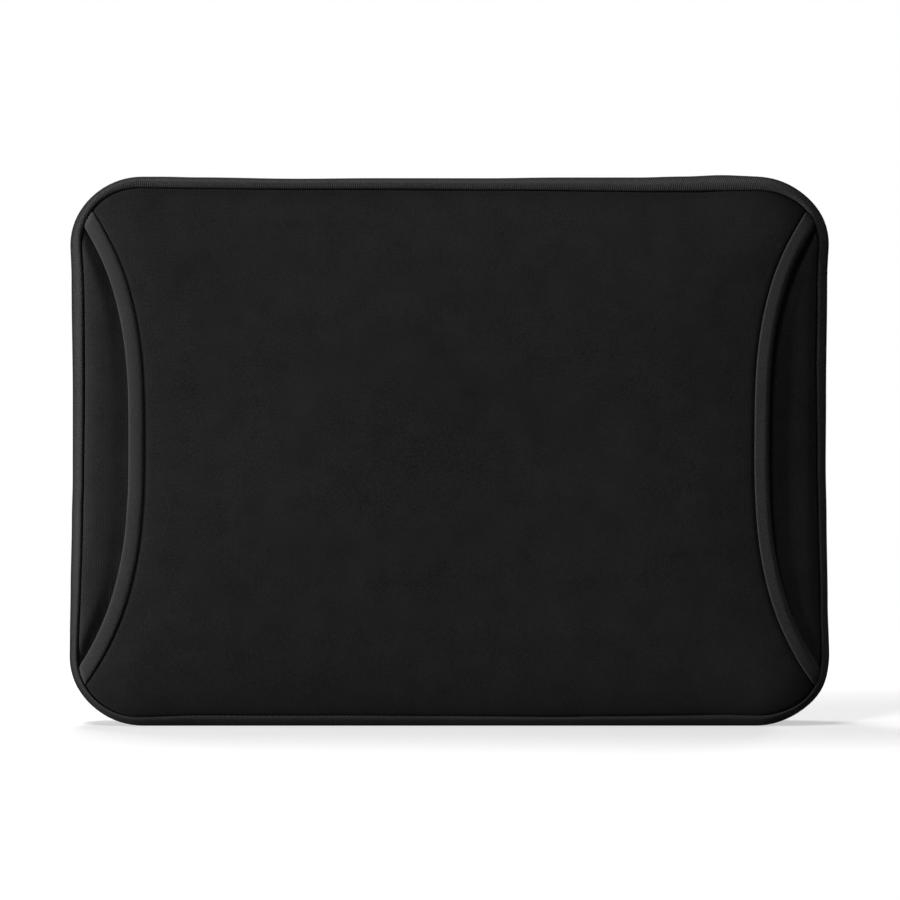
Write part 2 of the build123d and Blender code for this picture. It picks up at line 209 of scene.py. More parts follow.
def pocket_y(x, z):
    """Front surface of the slip pocket's panel, before its seam beside the tape is sunk in."""
    d = np.clip(seam_depth(x, z), 0, 1)
    seam_y = sheet_face + 0.9 * mm
    shoulder, shoulder_reach = 1.9 * mm, 0.4 * mm
    pillow, pillow_reach = seam_y - shoulder - pocket_face, 18 * mm
    swell = 1.2 * mm
    pull, pull_reach = 0.3 * mm, 16 * mm
    y = seam_y - shoulder * (1 - np.exp(-d / shoulder_reach))
    y = y - pillow * (1 - np.exp(-d / pillow_reach)) - swell * crown(x, z)
    inward = tape_distance(x, z) - edge_tape_width
    y = y + pull * np.exp(-np.clip(inward + 8 * mm, 0, 1) / pull_reach) * smooth(d / (30 * mm))
    y = y + puckers(x, z, d, 3)
    return y + 0.22 * mm * ripple(x, z, 130 * mm, 1) + 0.05 * mm * ripple(x, z, 34 * mm, 2)


def pocket_panel_y(x, z):
    """The panel as sewn: it drops into a narrow ditch along the tape's inner edge."""
    inward = np.clip(tape_distance(x, z) - edge_tape_width, 0, 1)
    ditch_depth, ditch_reach = 0.85 * mm, 0.5 * mm
    bank_depth, bank_reach = 0.07 * mm, 1.8 * mm
    y = pocket_y(x, z) + ditch_depth * np.exp(-inward / ditch_reach)
    return y + bank_depth * np.exp(-inward / bank_reach)


def panel_thickness(x, z):
    """The pocket panel is squeezed thin where it is sewn into the edge binding."""
    d = edge_distance(x, z) - band_width(x, z)
    sewn, spare = 0.5, 1.4
    return (sewn + spare * smooth(d / (6 * mm))) * mm


def sheet_y(x, z):
    """Front surface of the padded outer sheet, which shows beside the pocket and lies under its panel."""
    d = np.clip(seam_depth(x, z), 0, 1)
    seam_y = foam_low.y - 0.1 * mm
    shoulder, shoulder_reach = 2.1 * mm, 0.28 * mm
    pillow, pillow_reach = 2.9 * mm, 4.8 * mm
    gap_below_panel = 0.95 * mm
    y = seam_y - shoulder * (1 - np.exp(-d / shoulder_reach))
    y = y - pillow * (1 - np.exp(-d / pillow_reach))
    y = y + 0.1 * mm * ripple(x, z, 50 * mm, 5) * smooth(d / (8 * mm))
    beneath = pocket_y(x, z) + panel_thickness(x, z) + gap_below_panel
    covered = smooth(-tape_distance(x, z) / (7 * mm))
    lowest = np.minimum(np.maximum(y, beneath), seam_y)
    return lowest + (y - lowest) * covered


def back_y(x, z):
    """Back surface of the padded back sheet."""
    d = np.clip(edge_distance(x, z) - seam_inset, 0, 1)
    shoulder, shoulder_reach = 1.4 * mm, 0.4 * mm
    pillow, pillow_reach = 1.6 * mm, 7.5 * mm
    swell = 1.4 * mm
    seam_y = back_sheet_high.y - 3.0 * mm
    y = seam_y + shoulder * (1 - np.exp(-d / shoulder_reach))
    y = y + pillow * (1 - np.exp(-d / pillow_reach))
    return y + swell * crown(x, z) - puckers(x, z, d, 8) + 0.2 * mm * ripple(x, z, 120 * mm, 7)


# How the front face's outline strays from a true rounded rectangle, in mm outward:
# along the top by x over half the width, up the sides by height over half the height.
TOP_LIFT = [
    (-1.0, 0.2), (-0.76, 0.2), (-0.66, -0.15), (-0.4, -0.9), (-0.2, -0.6), (0.1, -0.6),
    (0.3, -0.15), (0.5, -0.1), (0.62, 0.45), (0.72, 1.2), (0.84, 0.3), (1.0, 0.2),
]
LEFT_SPREAD = [
    (-1.0, 0.3), (-0.85, 0.9), (-0.69, 0.4), (-0.5, 0.1), (-0.25, -0.5), (-0.1, -0.95), (0.2, -0.95),
    (0.62, -0.3), (0.85, 0.7), (1.0, 0.3),
]
RIGHT_SPREAD = [
    (-1.0, 0.6), (-0.88, 2.0), (-0.76, 0.9), (-0.55, 0.05), (-0.25, -0.5), (-0.05, -0.95), (0.2, -0.7),
    (0.62, -0.1), (0.86, 1.4), (1.0, 0.4),
]


def lean(co):
    """The soft outline of the front face, sewn by hand and a little out of true."""
    x, y, z = co[:, 0], co[:, 1], co[:, 2]
    front = smooth((gusset_low.y - y) / (2 * mm) + 0.5) * mm
    u, v = x / half_width, (z - half_height) / half_height
    spread = np.where(u < 0, eased(v, LEFT_SPREAD), eased(v, RIGHT_SPREAD)) * np.abs(u) ** 4
    co[:, 2] += front * eased(u, TOP_LIFT) * np.clip(v, 0, 1) ** 3
    co[:, 0] += front * spread * np.sign(u)
    return co


# ---- Mesh helpers ----


def new_object(name, verts, faces, uvs=None, material=None):
    """A smooth mesh object; uvs holds one (u, v) pair for each corner of each face."""
    mesh = bpy.data.meshes.new(name)
    mesh.from_pydata([tuple(v) for v in verts], [], faces)
    if uvs is not None:
        layer = mesh.uv_layers.new(name="cloth")
        layer.data.foreach_set("uv", np.array(uvs, np.float32).ravel())
    mesh.polygons.foreach_set("use_smooth", [True] * len(mesh.polygons))
    if material is not None:
        mesh.materials.append(material)
    mesh.validate()
    mesh.update()
    obj = bpy.data.objects.new(name, mesh)
    bpy.context.scene.collection.objects.link(obj)
    return obj


def rim(step=3.5 * mm, z_from=None):
    """The outer outline, anticlockwise from the right side at z_from: over the top, then under the bottom.

    Each path is an array of rows (x, z, normal x, normal z, distance along)."""
    z0 = fold_z if z_from is None else z_from
    cx, cz = half_width - corner_radius, half_height - corner_radius
    rows = []

    def straight(a, b, normal):
        count = max(1, round(math.dist(a, b) / step))
        for i in range(count):
            t = i / count
            rows.append((a[0] + (b[0] - a[0]) * t, a[1] + (b[1] - a[1]) * t, *normal))

    def corner(x, z, start):
        count = 20
        for i in range(count):
            angle = math.radians(start + 90 * i / count)
            nx, nz = math.cos(angle), math.sin(angle)
            rows.append((x + corner_radius * nx, z + corner_radius * nz, nx, nz))

    low, high = corner_radius, height - corner_radius
    straight((half_width, z0), (half_width, high), (1, 0))
    corner(cx, high, 0)
    straight((cx, height), (-cx, height), (0, 1))
    corner(-cx, high, 90)
    straight((-half_width, high), (-half_width, z0), (-1, 0))
    left_start = len(rows)
    straight((-half_width, z0), (-half_width, low), (-1, 0))
    corner(-cx, low, 180)
    straight((-cx, 0), (cx, 0), (0, -1))
    corner(cx, low, 270)
    straight((half_width, low), (half_width, z0), (1, 0))
    rows.append(rows[0])
    path = np.array(rows)
    along = np.concatenate([[0], np.cumsum(np.hypot(*np.diff(path[:, :2], axis=0).T))])
    path = np.column_stack([path, along])
    return path[: left_start + 1], path[left_start:], path


def rim_place(path, s):
    """The outline at distance s along a rim path: x, z, normal x, normal z."""
    k = min(np.searchsorted(path[:, 4], s, side="right") - 1, len(path) - 2)
    t = (s - path[k, 4]) / max(path[k + 1, 4] - path[k, 4], 1e-9)
    return path[k, :4] * (1 - t) + path[k + 1, :4] * t


def tube_faces(base, rings, sides, closed=False):
    """Faces of a tube of vertex rings that start at vertex base, joined end to end or capped."""
    faces = []
    for i in range(rings if closed else rings - 1):
        a, c = base + i * sides, base + (i + 1) % rings * sides
        for k in range(sides):
            nk = (k + 1) % sides
            faces.append((a + k, c + k, c + nk, a + nk))
    if not closed:
        faces.append(tuple(base + k for k in range(sides)))
        faces.append(tuple(base + (rings - 1) * sides + k for k in reversed(range(sides))))
    return faces


def tube_uvs(along, across, closed=False):
    """Cloth coordinates for the faces of a tube: distance along it, and distance round its section."""
    uvs = []
    for u0, u1 in zip(along, along[1:]):
        for v0, v1 in zip(across, across[1:]):
            uvs += [(u0, v0), (u1, v0), (u1, v1), (u0, v1)]
    if not closed:
        uvs += [(along[0], v) for v in across[:-1]] + [(along[-1], v) for v in reversed(across[:-1])]
    return uvs


def round_section(section):
    """Distance round a closed section at each of its points, and back at the first."""
    sides = [math.dist(a, b) for a, b in zip(section, section[1:] + section[:1])]
    return np.concatenate([[0], np.cumsum(sides)])


def sweep(name, path, section, closed=False, material=None, soft=True):
    """Sweeps a closed section along a rim path. section(row) gives (inset, y) pairs."""
    rows = path[:-1] if closed else path
    rings = [section(row) for row in rows]
    verts = []
    for row, ring in zip(rows, rings):
        for inset, y in ring:
            verts.append((row[0] - row[2] * inset, y, row[1] - row[3] * inset))
    verts = np.array(verts)
    if soft:
        verts = lean(verts)
    faces = tube_faces(0, len(rings), len(rings[0]), closed)
    uvs = tube_uvs(path[:, 4], round_section(rings[0]), closed)
    obj = new_object(name, verts, faces, uvs, material)
    flip_outward(obj)
    return obj


def flip_outward(obj):
    """Turns a closed mesh's faces outward, if its volume says that they point in."""
    mesh = obj.data
    mesh.calc_loop_triangles()
    co = np.array([v.co for v in mesh.vertices])
    tris = np.array([t.vertices for t in mesh.loop_triangles])
    a, b, c = co[tris[:, 0]], co[tris[:, 1]], co[tris[:, 2]]
    if (a * np.cross(b, c)).sum() < 0:
        mesh.flip_normals()


loop = rim()[2]


def face_layer(lip):
    """The rounded face as a flat mesh: rings that follow its seam at lip(x, z), and a grid within them."""
    ring_depths = [-1.6, -0.7, -0.15, 0.1, 0.3, 0.5, 0.75, 1.05, 1.4, 1.9]
    ring_depths += [2.6, 3.6, 5, 7, 9.5, 12.5, 16, 20, 25, 31]
    points, faces, known = [], [], {}

    def place(x, z):
        key = (round(x * 1e6), round(z * 1e6))
        if key not in known:
            known[key] = len(points)
            points.append((x, z))
        return known[key]

    def add_face(*corners):
        ring = [c for i, c in enumerate(corners) if c != corners[i - 1]]
        if len(ring) > 2:
            faces.append(tuple(ring))

    rings = []
    for depth in [depth * mm for depth in ring_depths] + [corner_radius]:
        share = 1 - depth / corner_radius
        insets = [depth + lip(row[0], row[1]) * share for row in loop[:-1]]
        rings.append([place(row[0] - row[2] * i, row[1] - row[3] * i) for row, i in zip(loop[:-1], insets)])
    for outer, inner in zip(rings, rings[1:]):
        for a, b, c, d in zip(outer, outer[1:] + outer[:1], inner[1:] + inner[:1], inner):
            add_face(a, b, c, d)
    core = [points[i] for i in rings[-1]]
    xs = sorted({x for x, z in core if abs(z - (height - corner_radius)) < 1e-6})
    zs = sorted({z for x, z in core if abs(x - (half_width - corner_radius)) < 1e-6})
    for x0, x1 in zip(xs, xs[1:]):
        for z0, z1 in zip(zs, zs[1:]):
            add_face(place(x0, z0), place(x1, z0), place(x1, z1), place(x0, z1))
    return points, faces


def along_curve(curve, shares):
    """Points of a polyline at the given shares of its length."""
    length = np.concatenate([[0], np.cumsum(np.hypot(*np.diff(curve, axis=0).T))])
    return np.stack([np.interp(shares * length[-1], length, curve[:, i]) for i in (0, 1)], axis=-1)


def graded(total, seam, first=4.5):
    """Shares from 0 to 1, close together on both sides of a seam near either end. Millimetres."""
    steps = (-0.9, -0.35, -0.12, 0.08, 0.25, 0.45, 0.7, 1.0, 1.4, 2.0, 2.8, 4, 5.6, 8, 11, 15)
    near = [0.0] + [seam + step for step in steps if seam + step > 0.1]
    count = round((total - 2 * near[-1]) / first)
    middle = [near[-1] + (total - 2 * near[-1]) * i / count for i in range(1, count)]
    return np.array(near + middle + [total - place for place in reversed(near)]) / total


def pocket_layer():
    """The slip pocket's panel as a flat mesh whose rows and columns follow its own four seams."""
    hidden_seam, hidden_side = 1.4 * mm, 3.0 * mm
    widths = band_width(loop[:, 0], loop[:, 1]) - hidden_seam
    seam = loop[:-1, :2] - loop[:-1, 2:4] * widths[:-1, None]

    def side_curve(side):
        z = np.linspace(5 * mm, height - 5 * mm, 1400)
        slope = free_edge_slope(z)
        inward = (edge_tape_width - hidden_side) / np.hypot(1, slope)
        x, z = side * (free_edge_x(z) - inward), z + inward * slope
        inside = edge_distance(x, z) > band_width(x, z) - hidden_seam
        return np.stack([x, z], axis=-1)[inside]

    left, right = side_curve(-1), side_curve(1)

    def seam_between(start, end):
        """Part of the seam from the point nearest start, anticlockwise, to the point nearest end."""
        first, last = (int(np.argmin(np.hypot(*(seam - p).T))) for p in (start, end))
        if first <= last:
            part = seam[first:last + 1]
        else:
            part = np.concatenate([seam[first:], seam[:last + 1]])
        return np.concatenate([[start], part[1:-1], [end]])

    top = seam_between(right[-1], left[-1])[::-1]
    bottom = seam_between(left[0], right[0])
    s = graded(2 * (edge_half_x - edge_tape_width + hidden_side) / mm, hidden_side / mm)
    seams_height = height - 11 * mm
    t = graded(seams_height / mm, hidden_seam / mm)
    low, high = along_curve(bottom, s)[None, :], along_curve(top, s)[None, :]
    west, east = along_curve(left, t)[:, None], along_curve(right, t)[:, None]
    s, t = s[None, :, None], t[:, None, None]
    corners = (1 - s) * (1 - t) * left[0] + s * (1 - t) * right[0]
    corners = corners + (1 - s) * t * left[-1] + s * t * right[-1]
    grid = (1 - t) * low + t * high + (1 - s) * west + s * east - corners
    rows, columns = grid.shape[:2]
    faces = []
    for i in range(rows - 1):
        for j in range(columns - 1):
            a = i * columns + j
            faces.append((a, a + 1, a + columns + 1, a + columns))
    return [tuple(p) for p in grid.reshape(-1, 2)], faces


def cloth_shell(name, layer, front, back, material, seam=None):
    """A closed sheet: one layer on y = front(x, z), one on y = back(x, z), and walls round their border.

    seam(x, z), if given, is the distance from a seam; the cloth's colour is darkened near it as painted
    shade."""
    points, faces = layer
    x, z = np.array(points).T
    sides = [np.stack([x, surface(x, z), z], axis=-1) for surface in (front, back)]
    verts = lean(np.concatenate(sides))
    size = len(points)
    shell = list(faces) + [tuple(size + i for i in reversed(face)) for face in faces]
    border = set()
    for face in faces:
        for a, b in zip(face, face[1:] + face[:1]):
            if (b, a) in border:
                border.remove((b, a))
            else:
                border.add((a, b))
    shell += [(b, a, size + a, size + b) for a, b in sorted(border)]
    obj = new_object(name, verts, shell, None, material)
    if seam is not None:
        away = np.clip(seam(x, z), 0, 1)
        # Painted shade: how much the colour is darkened near the seam, kept on each point
        seam_shade = 0.6 * np.exp(-away / (8 * mm)) + 0.4 * np.exp(-away / (0.6 * mm))
        attribute = obj.data.attributes.new("seam_shade", "FLOAT", "POINT")
        attribute.data.foreach_set("value", np.concatenate([seam_shade, seam_shade]).astype(np.float32))
    return obj


def level(y):
    """A flat surface at one y."""
    return lambda x, z: y + 0 * x


# Stitches nearly as long as their pitch, in near-black thread, make an almost unbroken dark line: thread,
# and painted shade along each seam's ditch.
stitch_length = 2.95 * mm
stitch_pitch = 3.1 * mm
thread = 0.6 * mm


def stitches(name, places):
    """Sewn thread: one short rounded stitch at each (point, direction, outward normal)."""
    # From the middle to one end: place along, girth and rise, as shares of length and thread.
    half = [(0.2, 1.0, 0.5), (0.42, 0.75, 0.1), (0.5, 0.35, -0.55)]
    profile = [(-along, girth, rise) for along, girth, rise in reversed(half)] + half
    sides = 6
    verts, faces = [], []
    for point, direction, normal in places:
        t, n = Vector(direction).normalized(), Vector(normal).normalized()
        b = t.cross(n).normalized()
        base = len(verts)
        for along, girth, rise in profile:
            centre = Vector(point) + t * (along * stitch_length) + n * (rise * thread / 2)
            for k in range(sides):
                angle = 2 * math.pi * k / sides
                spread = b * math.cos(angle) + n * math.sin(angle)
                verts.append(centre + spread * (girth * thread / 2))
        faces += tube_faces(base, len(profile), sides)
    obj = new_object(name, verts, faces, None, thread_and_ditch_shade)
    flip_outward(obj)
    return obj


# ---- Materials ----


class Nodes:
    """A few shorthands for building one material's node tree."""

    def __init__(self, name):
        self.material = bpy.data.materials.new(name)
        self.material.use_nodes = True
        self.tree = self.material.node_tree
        self.shader = self.tree.nodes["Principled BSDF"]
        self.place = self.add("ShaderNodeTexCoord").outputs["Object"]

    def add(self, kind, **values):
        node = self.tree.nodes.new(kind)
        for key, value in values.items():
            if key in node.inputs:
                node.inputs[key].default_value = value
            else:
                setattr(node, key, value)
        return node

    def link(self, source, target):
        self.tree.links.new(source, target)

    def set(self, **values):
        for key, value in values.items():
            self.shader.inputs[key.replace("_", " ")].default_value = value

    def base_color(self, source):
        self.link(source, self.shader.inputs["Base Color"])

    def math(self, operation, a, b=0.0):
        node = self.tree.nodes.new("ShaderNodeMath")
        node.operation = operation
        for i, value in enumerate((a, b)):
            if isinstance(value, (int, float)):
                node.inputs[i].default_value = value
            else:
                self.link(value, node.inputs[i])
        return node.outputs[0]

    def weighted(self, *parts):
        """The sum of (value, share) pairs."""
        total = None
        for value, share in parts:
            part = self.math("MULTIPLY", value, share)
            total = part if total is None else self.math("ADD", total, part)
        return total

    def scaled(self, color, factor):
        node = self.add("ShaderNodeVectorMath", operation="SCALE")
        self.link(color, node.inputs[0])
        self.link(factor, node.inputs["Scale"])
        return node.outputs[0]

    def smoothed(self, value, low, high):
        node = self.add("ShaderNodeMapRange", interpolation_type="SMOOTHSTEP")
        node.inputs["From Min"].default_value = low
        node.inputs["From Max"].default_value = high
        self.link(value, node.inputs["Value"])
        return node.outputs["Result"]

    def noise(self, scale, detail=3.0, roughness=0.55):
        node = self.add("ShaderNodeTexNoise", Scale=scale, Detail=detail, Roughness=roughness)
        self.link(self.place, node.inputs["Vector"])
        return node.outputs["Fac"]

    def ramp(self, factor, low, high, dark, bright):
        node = self.tree.nodes.new("ShaderNodeValToRGB")
        node.color_ramp.elements[0].position = low
        node.color_ramp.elements[1].position = high
        node.color_ramp.elements[0].color = (*dark, 1)
        node.color_ramp.elements[1].color = (*bright, 1)
        self.link(factor, node.inputs["Fac"])
        return node.outputs["Color"]

    def bump(self, layers):
        """Chains bumps: layers are (height, distance in metres, strength)."""
        normal = None
        for layer, distance, strength in layers:
            node = self.add("ShaderNodeBump", Distance=distance, Strength=strength)
            self.link(layer, node.inputs["Height"])
            if normal is not None:
                self.link(normal, node.inputs["Normal"])
            normal = node.outputs["Normal"]
        self.link(normal, self.shader.inputs["Normal"])

    def uv(self):
        node = self.tree.nodes.new("ShaderNodeUVMap")
        node.uv_map = "cloth"
        return node.outputs["UV"]

    def parts(self, vector):
        node = self.tree.nodes.new("ShaderNodeSeparateXYZ")
        self.link(vector, node.inputs[0])
        return node.outputs


def wave_of(n, coordinate, pitch, offset):
    """A 0 to 1 cosine ridge along a coordinate, with the given pitch in metres."""
    phase = n.math("ADD", n.math("MULTIPLY", coordinate, 2 * math.pi / pitch), offset)
    return n.math("MULTIPLY", n.math("ADD", n.math("COSINE", phase), 1.0), 0.5)


def jersey_material(name, dark, bright, sheen, rough):
    """Fine knitted jersey bonded to neoprene: tiny columns of loops, faint mottling, and painted shade
    along its seams.
    """
    n = Nodes(name)
    x, _, z = n.parts(n.place)
    mottle = n.noise(60.0, 4.0, 0.6)
    grain = n.noise(1500.0, 2.0, 0.6)
    cloud = n.noise(9.0, 2.0, 0.5)
    column = wave_of(n, x, 0.9 * mm, n.math("MULTIPLY", n.noise(500.0, 1.0), 2.0))
    row = wave_of(n, z, 0.7 * mm, n.math("MULTIPLY", n.noise(420.0, 1.0), 2.0))
    loops = n.math("MULTIPLY", column, row)
    tone = n.weighted((mottle, 0.25), (cloud, 0.2), (grain, 0.55))
    # Painted shade: the colour darkens by up to 85% near seams, as the point attribute says
    seam_shade = n.add("ShaderNodeAttribute", attribute_name="seam_shade").outputs["Fac"]
    painted_shade = n.math("SUBTRACT", 1.0, n.math("MULTIPLY", seam_shade, 0.85))
    n.base_color(n.scaled(n.ramp(tone, 0.36, 0.66, dark, bright), painted_shade))
    n.set(Roughness=rough, Sheen_Weight=sheen, Sheen_Roughness=0.55, Specular_IOR_Level=0.12)
    n.shader.inputs["Sheen Tint"].default_value = (0.85, 0.86, 0.9, 1)
    n.bump([(mottle, 0.2 * mm, 0.4), (loops, 0.14 * mm, 0.8), (grain, 0.13 * mm, 0.9)])
    return n.material


def tape_material(name, dark, bright, pitch, sheen, turn=(0.45, 0.8)):
    """Woven tape: ribs across its length with a twill line, and painted shade over the turn of its folded
    edge, where the surface faces away from the view.
    """
    n = Nodes(name)
    u, v, _ = n.parts(n.uv())
    fuzz = n.noise(1500.0, 2.0, 0.6)
    drift = n.math("MULTIPLY", n.noise(260.0, 2.0), 1.6)
    slant = n.math("ADD", u, n.math("MULTIPLY", v, 0.55))
    rib = wave_of(n, slant, pitch, drift)
    thread = wave_of(n, n.math("SUBTRACT", n.math("MULTIPLY", u, 0.4), v), 0.55 * mm, drift)
    weave = n.weighted((rib, 0.65), (thread, 0.35))
    cloud = n.noise(40.0, 3.0, 0.6)
    tone = n.weighted((weave, 0.4), (cloud, 0.15), (fuzz, 0.45))
    # Painted shade: the colour darkens where the surface turns away from the view, between the two levels
    # in turn
    facing = n.add("ShaderNodeLayerWeight", Blend=0.5).outputs["Facing"]
    painted_shade = n.math("SUBTRACT", 1.0, n.math("MULTIPLY", n.smoothed(facing, *turn), 0.85))
    n.base_color(n.scaled(n.ramp(tone, 0.28, 0.72, dark, bright), painted_shade))
    n.set(Roughness=0.75, Sheen_Weight=sheen, Sheen_Roughness=0.4, Specular_IOR_Level=0.15)
    n.bump([(weave, 0.3 * mm, 0.9), (fuzz, 0.16 * mm, 0.8)])
    return n.material


def thread_and_shade_material(name):
    """Black sewing thread, sunk in the seam: dull, with a fine twist. Near-black and laid almost end to
    end, it is also painted shade along the seam's ditch.
    """
    n = Nodes(name)
    twist = n.noise(2600.0, 2.0, 0.6)
    n.base_color(n.ramp(twist, 0.3, 0.7, (0.002, 0.002, 0.002), (0.005, 0.005, 0.005)))
    n.set(Roughness=0.85, Specular_IOR_Level=0.15)
    n.bump([(twist, 0.06 * mm, 0.6)])
    return n.material


def plush_material(name):
    """Short brushed pile: directional fuzz with soft patches."""
    n = Nodes(name)
    patch = n.noise(24.0, 3.0, 0.6)
    pile = n.noise(1300.0, 3.0, 0.7)
    tone = n.weighted((patch, 0.6), (pile, 0.4))
    n.base_color(n.ramp(tone, 0.3, 0.7, (0.012, 0.012, 0.013), (0.034, 0.034, 0.037)))
    n.set(Roughness=0.95, Sheen_Weight=0.4, Sheen_Roughness=0.35, Specular_IOR_Level=0.15)
    n.bump([(patch, 0.6 * mm, 0.4), (pile, 0.35 * mm, 0.8)])
    return n.material


def foam_material(name):
    """Closed-cell foam: small round cells."""
    n = Nodes(name)
    cells = n.add("ShaderNodeTexVoronoi", Scale=900.0)
    n.link(n.place, cells.inputs["Vector"])
    tone = n.weighted((cells.outputs["Distance"], 0.8), (n.noise(30.0), 0.3))
    n.base_color(n.ramp(tone, 0.1, 0.8, (0.04, 0.04, 0.042), (0.075, 0.075, 0.078)))
    n.set(Roughness=0.9, Specular_IOR_Level=0.2)
    n.bump([(cells.outputs["Distance"], 0.3 * mm, 0.6)])
    return n.material


def coil_material(name):
    """Nylon zip coil: slightly glossy black plastic with fine drawn streaks."""
    n = Nodes(name)
    streak = n.noise(700.0, 2.0, 0.5)
    n.base_color(n.ramp(streak, 0.3, 0.7, (0.008, 0.008, 0.009), (0.02, 0.02, 0.021)))
    rough = n.math("ADD", n.math("MULTIPLY", streak, 0.2), 0.3)
    n.link(rough, n.shader.inputs["Roughness"])
    n.bump([(streak, 0.05 * mm, 0.4)])
    return n.material


def enamel_material(name):
    """Black enamelled zinc casting: semi-gloss, orange peel, paler where the edges have rubbed."""
    n = Nodes(name)
    peel = n.noise(900.0, 2.0, 0.5)
    rub = n.noise(260.0, 4.0, 0.7)
    geometry = n.add("ShaderNodeNewGeometry")
    worn = n.math("MULTIPLY", n.math("GREATER_THAN", geometry.outputs["Pointiness"], 0.56), rub)
    n.base_color(n.ramp(worn, 0.25, 0.75, (0.012, 0.012, 0.013), (0.11, 0.11, 0.11)))
    n.link(n.math("ADD", n.math("MULTIPLY", rub, 0.25), 0.2), n.shader.inputs["Roughness"])
    n.set(Coat_Weight=0.3, Coat_Roughness=0.2)
    n.bump([(peel, 0.05 * mm, 0.3)])
    return n.material


def steel_material(name):
    """Rolled spring steel: fine brushed lines."""
    n = Nodes(name)
    lines = n.noise(3000.0, 2.0, 0.5)
    n.base_color(n.ramp(lines, 0.3, 0.7, (0.3, 0.3, 0.31), (0.55, 0.55, 0.56)))
    n.set(Metallic=1.0, Roughness=0.35)
    n.bump([(lines, 0.02 * mm, 0.3)])
    return n.material


def floor_material():
    """Matt white board, lifted towards white for the camera.

    Its bounce on to the object is held back, as with black cards beside the set."""
    n = Nodes("pale_floor")
    board = n.ramp(n.noise(3.0, 2.0), 0.3, 0.7, (0.74, 0.74, 0.74), (0.76, 0.76, 0.76))
    ray = n.add("ShaderNodeLightPath")
    mix = n.add("ShaderNodeMix", data_type="RGBA")
    n.link(ray.outputs["Is Diffuse Ray"], mix.inputs["Factor"])
    n.link(board, mix.inputs[6])
    mix.inputs[7].default_value = (0.1, 0.1, 0.1, 1)
    n.base_color(mix.outputs[2])
    n.link(n.math("MULTIPLY", ray.outputs["Is Camera Ray"], 0.46), n.shader.inputs["Emission Strength"])
    n.shader.inputs["Emission Color"].default_value = (1, 1, 1, 1)
    n.set(Roughness=0.9, Specular_IOR_Level=0.1)
    return n.material


jersey = jersey_material("neoprene_jersey", (0.0095, 0.0095, 0.01), (0.031, 0.031, 0.032), 0.05, 0.8)
# The edge binding's painted shade starts sooner, for a wider dark outline round its rim
binding_cloth = tape_material(
    "edge_binding_tape", (0.009, 0.009, 0.0093), (0.088, 0.088, 0.0905), 1.1 * mm, 0.06, turn=(0.2, 0.42)
)
pocket_tape_cloth = tape_material(
    "pocket_binding_tape", (0.03, 0.03, 0.0305), (0.07, 0.07, 0.0715), 1.0 * mm, 0.06
)
gusset_cloth = tape_material("gusset_cloth", (0.016, 0.016, 0.017), (0.04, 0.04, 0.042), 0.9 * mm, 0.1)
zip_cloth = tape_material("zip_tape", (0.014, 0.014, 0.015), (0.034, 0.034, 0.036), 0.8 * mm, 0.08)
thread_and_ditch_shade = thread_and_shade_material("sewing_thread_and_ditch_shade")
plush = plush_material("plush_lining")
foam = foam_material("foam")
coil = coil_material("zip_coil")
enamel = enamel_material("black_enamel")
steel = steel_material("spring_steel")

# ---- Attaching pieces to the frame ----


def across_fold(obj, slot, *nodes):
    """A front piece: hides the CAD parts it replaces and bakes its placement into its mesh; it is not
    attached to a body and does not fold with the flap.
    """
    if nodes:
        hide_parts(*nodes)
    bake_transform(obj)
    return obj


def fixed(obj, slot, *nodes):
    """A piece that stays with the back of the sleeve."""
    if nodes:
        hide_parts(*nodes)
    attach(obj, "sleeve")
    return obj


# ---- Camera ----


def add_camera():
    """Level and square to the front, at mid height, from a little over a metre."""
    data = bpy.data.cameras.new("camera")
    camera = bpy.data.objects.new("camera", data)
    bpy.context.scene.collection.objects.link(camera)
    data.sensor_width = 36.0
    data.lens = 90.0
    view_width = 1.189 * width
    distance = view_width * data.lens / data.sensor_width
    binding_plane = (front_low.y + front_high.y) / 2
    off_centre, eye_height = 0.5 * mm, 145.8 * mm
    camera.location = (off_centre, binding_plane - distance, eye_height)
    camera.rotation_euler = (math.radians(90), 0, 0)
    data.clip_end = 30
    bpy.context.scene.camera = camera


add_camera()

# ---- Padded faces ----

pocket_front = cloth_shell(
    "pocket_front",
    pocket_layer(),
    pocket_panel_y,
    lambda x, z: pocket_panel_y(x, z) + panel_thickness(x, z),
    jersey,
    # painted shade along the panel's seam
    seam=seam_depth,
)
across_fold(pocket_front, "neoprene_jersey", "pocket_panel_lower", "pocket_panel_upper")

front_layer = face_layer(band_width)
front_sheet = cloth_shell("front_sheet", front_layer, sheet_y, level(foam_low.y), jersey)
across_fold(front_sheet, "neoprene_jersey", "front_panel_lower", "front_panel_upper")

hidden_inset = 4.6 * mm
hidden_layer = face_layer(lambda x, z: hidden_inset)
skin = 0.05 * mm
front_padding = cloth_shell(
    "front_padding", hidden_layer, level(foam_low.y + skin), level(foam_high.y - skin), foam
)
across_fold(front_padding, "foam", "front_foam_lower", "front_foam_upper")

lining_ease = 0.35 * mm


def lining_wave(x, z):
    """The plush lining lies a little loose."""
    d = edge_distance(x, z) - gusset_inset
    return lining_ease + 0.25 * mm * ripple(x, z, 70 * mm, 11) * smooth(d / (20 * mm))


front_lining_cloth = cloth_shell(
    "front_lining_cloth",
    hidden_layer,
    level(lining_low.y + skin),
    lambda x, z: lining_high.y + lining_wave(x, z),
    plush,
)
across_fold(front_lining_cloth, "plush_lining", "front_lining_lower", "front_lining_upper")

back_layer = face_layer(lambda x, z: seam_inset)
back_sheet = cloth_shell(
    "back_sheet", back_layer, level(back_sheet_low.y), back_y, jersey,
    # painted shade along the back sheet's seam
    seam=lambda x, z: edge_distance(x, z) - seam_inset,
)
fixed(back_sheet, "neoprene_jersey", "back_panel")

